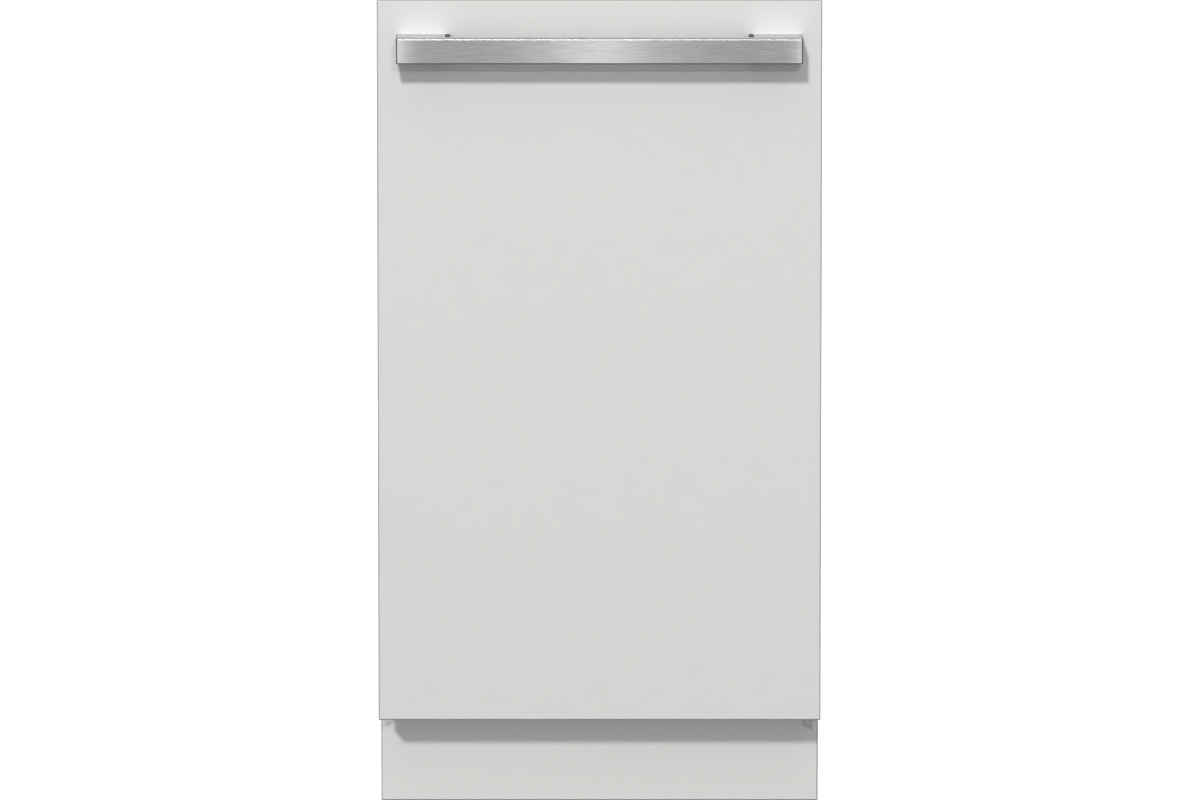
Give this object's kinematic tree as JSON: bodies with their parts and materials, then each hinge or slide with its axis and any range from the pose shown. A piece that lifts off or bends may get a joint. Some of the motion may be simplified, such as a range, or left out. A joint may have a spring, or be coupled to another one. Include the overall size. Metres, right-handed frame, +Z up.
{
  "type": "slimline integrated dishwasher",
  "caption": "Narrow built-in dishwasher with a flat lacquered front, brushed bow handle and recessed plinth; drop-down door, wire racks, cutlery tray and spray arms inside.",
  "frame": {"origin": "on the floor, in the middle of the width and of the whole depth with the handle", "axes": "+Z up, front faces -Y, +X to the right as seen from the front"},
  "size_m": [0.448, 0.609, 0.83],
  "materials": {
    "front_lacquer": "satin light grey lacquer on board",
    "plinth_lacquer": "satin light grey lacquer on board",
    "handle_steel": "brushed along its length",
    "tub_steel": "satin stainless sheet",
    "cabinet_steel": "galvanised sheet",
    "bracket_steel": "zinc-plated",
    "spring_steel": "bright steel",
    "base_plastic": "moulded, dark",
    "gasket_rubber": "soft, dark",
    "spray_plastic": "moulded, mid grey",
    "filter_steel": "fine perforated sheet",
    "filter_plastic": "moulded, dark grey",
    "motor_metal": "cast and turned",
    "cap_plastic": "moulded, grey",
    "valve_plastic": "moulded, off-white",
    "control_plastic": "moulded, black",
    "key_plastic": "moulded, silver grey",
    "display_lens": "smoked, polished",
    "circuit_board": "solder resist",
    "dispenser_plastic": "moulded, grey",
    "rack_coating": "grey coated wire",
    "tray_plastic": "moulded, grey",
    "foot_plastic": "moulded, dark"
  },
  "bodies": {
    "cabinet": {"base_tray": "base_plastic", "tub_wrap": "tub_steel", "tub_back": "tub_steel", "tub_floor": "tub_steel", "front_frame": "tub_steel", "door_gasket": "gasket_rubber", "side_panel_left": "cabinet_steel", "side_panel_right": "cabinet_steel", "rear_panel": "cabinet_steel", "top_cover": "cabinet_steel", "plinth_panel": "plinth_lacquer", "sump": "base_plastic", "filter_plate": "filter_steel", "pump_housing": "base_plastic", "pump_motor": "motor_metal", "water_heater": "motor_metal", "drain_pump": "base_plastic", "drain_pipe": "base_plastic", "water_softener": "base_plastic", "inlet_valve": "valve_plastic", "mains_inlet": "valve_plastic", "feed_pipe": "spray_plastic", "hinge_brackets": "bracket_steel", "hinge_pins": "spring_steel", "door_springs": "spring_steel", "latch_strike": "bracket_steel", "rack_rails": "bracket_steel"},
    "door": {"front_panel": "front_lacquer", "handle": "handle_steel", "front_screws": "spring_steel", "door_outer_sheet": "cabinet_steel", "door_liner": "tub_steel", "control_panel": "control_plastic", "display_window": "display_lens", "control_board": "circuit_board", "dispenser_housing": "dispenser_plastic", "hinge_arms": "bracket_steel", "door_lock": "control_plastic"},
    "upper_rack": {"upper_rack": "rack_coating", "upper_rack_duct": "spray_plastic"},
    "dispenser_lid": {"dispenser_lid": "dispenser_plastic"},
    "rinse_aid_cap": {"rinse_aid_cap": "cap_plastic"},
    "power_button": {"power_button": "key_plastic"},
    "program_button": {"program_button": "key_plastic"},
    "start_button": {"start_button": "key_plastic"},
    "middle_spray_arm": {"middle_spray_arm": "spray_plastic"},
    "cup_shelf": {"cup_shelf": "rack_coating"},
    "rail_slides": {"rail_slides": "bracket_steel"},
    "cutlery_tray": {"cutlery_tray": "tray_plastic"},
    "lower_rack": {"lower_rack": "rack_coating"},
    "wheels_front": {"wheels_front": "tray_plastic"},
    "wheels_rear": {"wheels_rear": "tray_plastic"},
    "top_spray_arm": {"top_spray_arm": "spray_plastic"},
    "lower_spray_arm": {"lower_spray_arm": "spray_plastic"},
    "pump_impeller": {"pump_impeller": "spray_plastic"},
    "filter_cylinder": {"filter_cylinder": "filter_plastic"},
    "salt_cap": {"salt_cap": "cap_plastic"},
    "foot_front_left": {"foot_front_left": "foot_plastic"},
    "foot_front_right": {"foot_front_right": "foot_plastic"},
    "foot_rear": {"foot_rear": "foot_plastic"}
  },
  "joints": [
    {"name": "door_hinge", "type": "hinge", "parent": "cabinet", "child": "door", "pos_m": [0, -0.2335, 0.092], "axis": [1, 0, 0], "range_deg": [0, 90], "stiffness_Nm_per_rad": 26},
    {"name": "upper_rack_slide", "type": "slide", "parent": "cabinet", "child": "upper_rack", "axis": [0, -1, 0], "range_m": [0, 0.4]},
    {"name": "rail_slide", "type": "slide", "parent": "cabinet", "child": "rail_slides", "axis": [0, -1, 0], "range_m": [0, 0.2]},
    {"name": "cutlery_tray_slide", "type": "slide", "parent": "cabinet", "child": "cutlery_tray", "axis": [0, -1, 0], "range_m": [0, 0.35]},
    {"name": "lower_rack_slide", "type": "slide", "parent": "cabinet", "child": "lower_rack", "axis": [0, -1, 0], "range_m": [0, 0.18]},
    {"name": "wheels_front_spin", "type": "hinge", "parent": "lower_rack", "child": "wheels_front", "pos_m": [0, -0.0543, 0.1576], "axis": [1, 0, 0], "range_deg": [0, 573]},
    {"name": "wheels_rear_spin", "type": "hinge", "parent": "lower_rack", "child": "wheels_rear", "pos_m": [0, 0.1955, 0.1576], "axis": [1, 0, 0], "range_deg": [0, 573]},
    {"name": "top_arm_spin", "type": "hinge", "parent": "cabinet", "child": "top_spray_arm", "pos_m": [0, 0.0531, 0.7756], "axis": [0, 0, 1], "continuous": true},
    {"name": "middle_arm_spin", "type": "hinge", "parent": "upper_rack", "child": "middle_spray_arm", "pos_m": [0, 0.0531, 0.4488], "axis": [0, 0, 1], "continuous": true},
    {"name": "lower_arm_spin", "type": "hinge", "parent": "cabinet", "child": "lower_spray_arm", "pos_m": [0, 0.0531, 0.1562], "axis": [0, 0, 1], "continuous": true},
    {"name": "impeller_spin", "type": "hinge", "parent": "cabinet", "child": "pump_impeller", "pos_m": [0.127, 0.0131, 0.088], "axis": [1, 0, 0], "continuous": true},
    {"name": "filter_turn", "type": "hinge", "parent": "cabinet", "child": "filter_cylinder", "pos_m": [0, -0.0129, 0.11], "axis": [0, 0, 1], "range_deg": [0, 90]},
    {"name": "salt_cap_turn", "type": "hinge", "parent": "cabinet", "child": "salt_cap", "pos_m": [-0.13, 0.2233, 0.14], "axis": [0, 0, 1], "range_deg": [0, 90]},
    {"name": "rinse_cap_turn", "type": "hinge", "parent": "door", "child": "rinse_aid_cap", "pos_m": [0.046, -0.1905, 0.46], "axis": [0, 1, 0], "range_deg": [0, 90]},
    {"name": "dispenser_lid_slide", "type": "slide", "parent": "door", "child": "dispenser_lid", "axis": [0, 0, 1], "range_m": [0, 0.08]},
    {"name": "cup_shelf_fold", "type": "hinge", "parent": "upper_rack", "child": "cup_shelf", "pos_m": [-0.1808, 0.0531, 0.5722], "axis": [0, -1, 0], "range_deg": [0, 85]},
    {"name": "power_button_press", "type": "slide", "parent": "door", "child": "power_button", "axis": [0, 0, -1], "range_m": [0, 0.0012], "stiffness_N_per_m": 600},
    {"name": "program_button_press", "type": "slide", "parent": "door", "child": "program_button", "axis": [0, 0, -1], "range_m": [0, 0.0012], "stiffness_N_per_m": 600},
    {"name": "start_button_press", "type": "slide", "parent": "door", "child": "start_button", "axis": [0, 0, -1], "range_m": [0, 0.0012], "stiffness_N_per_m": 600},
    {"name": "foot_front_left_screw", "type": "slide", "parent": "cabinet", "child": "foot_front_left", "axis": [0, 0, -1], "range_m": [0, 0.04]},
    {"name": "foot_front_right_screw", "type": "slide", "parent": "cabinet", "child": "foot_front_right", "axis": [0, 0, -1], "range_m": [0, 0.04]},
    {"name": "foot_rear_screw", "type": "slide", "parent": "cabinet", "child": "foot_rear", "axis": [0, 0, -1], "range_m": [0, 0.04]}
  ],
  "couplings": [
    {"joint": "upper_rack_slide", "follows": "door_hinge", "m_per_rad": 0.25465},
    {"joint": "rail_slide", "follows": "door_hinge", "m_per_rad": 0.12732},
    {"joint": "cutlery_tray_slide", "follows": "door_hinge", "m_per_rad": 0.22282},
    {"joint": "lower_rack_slide", "follows": "door_hinge", "m_per_rad": 0.11459},
    {"joint": "wheels_front_spin", "follows": "door_hinge", "ratio": 6.3662},
    {"joint": "wheels_rear_spin", "follows": "door_hinge", "ratio": 6.3662}
  ]
}
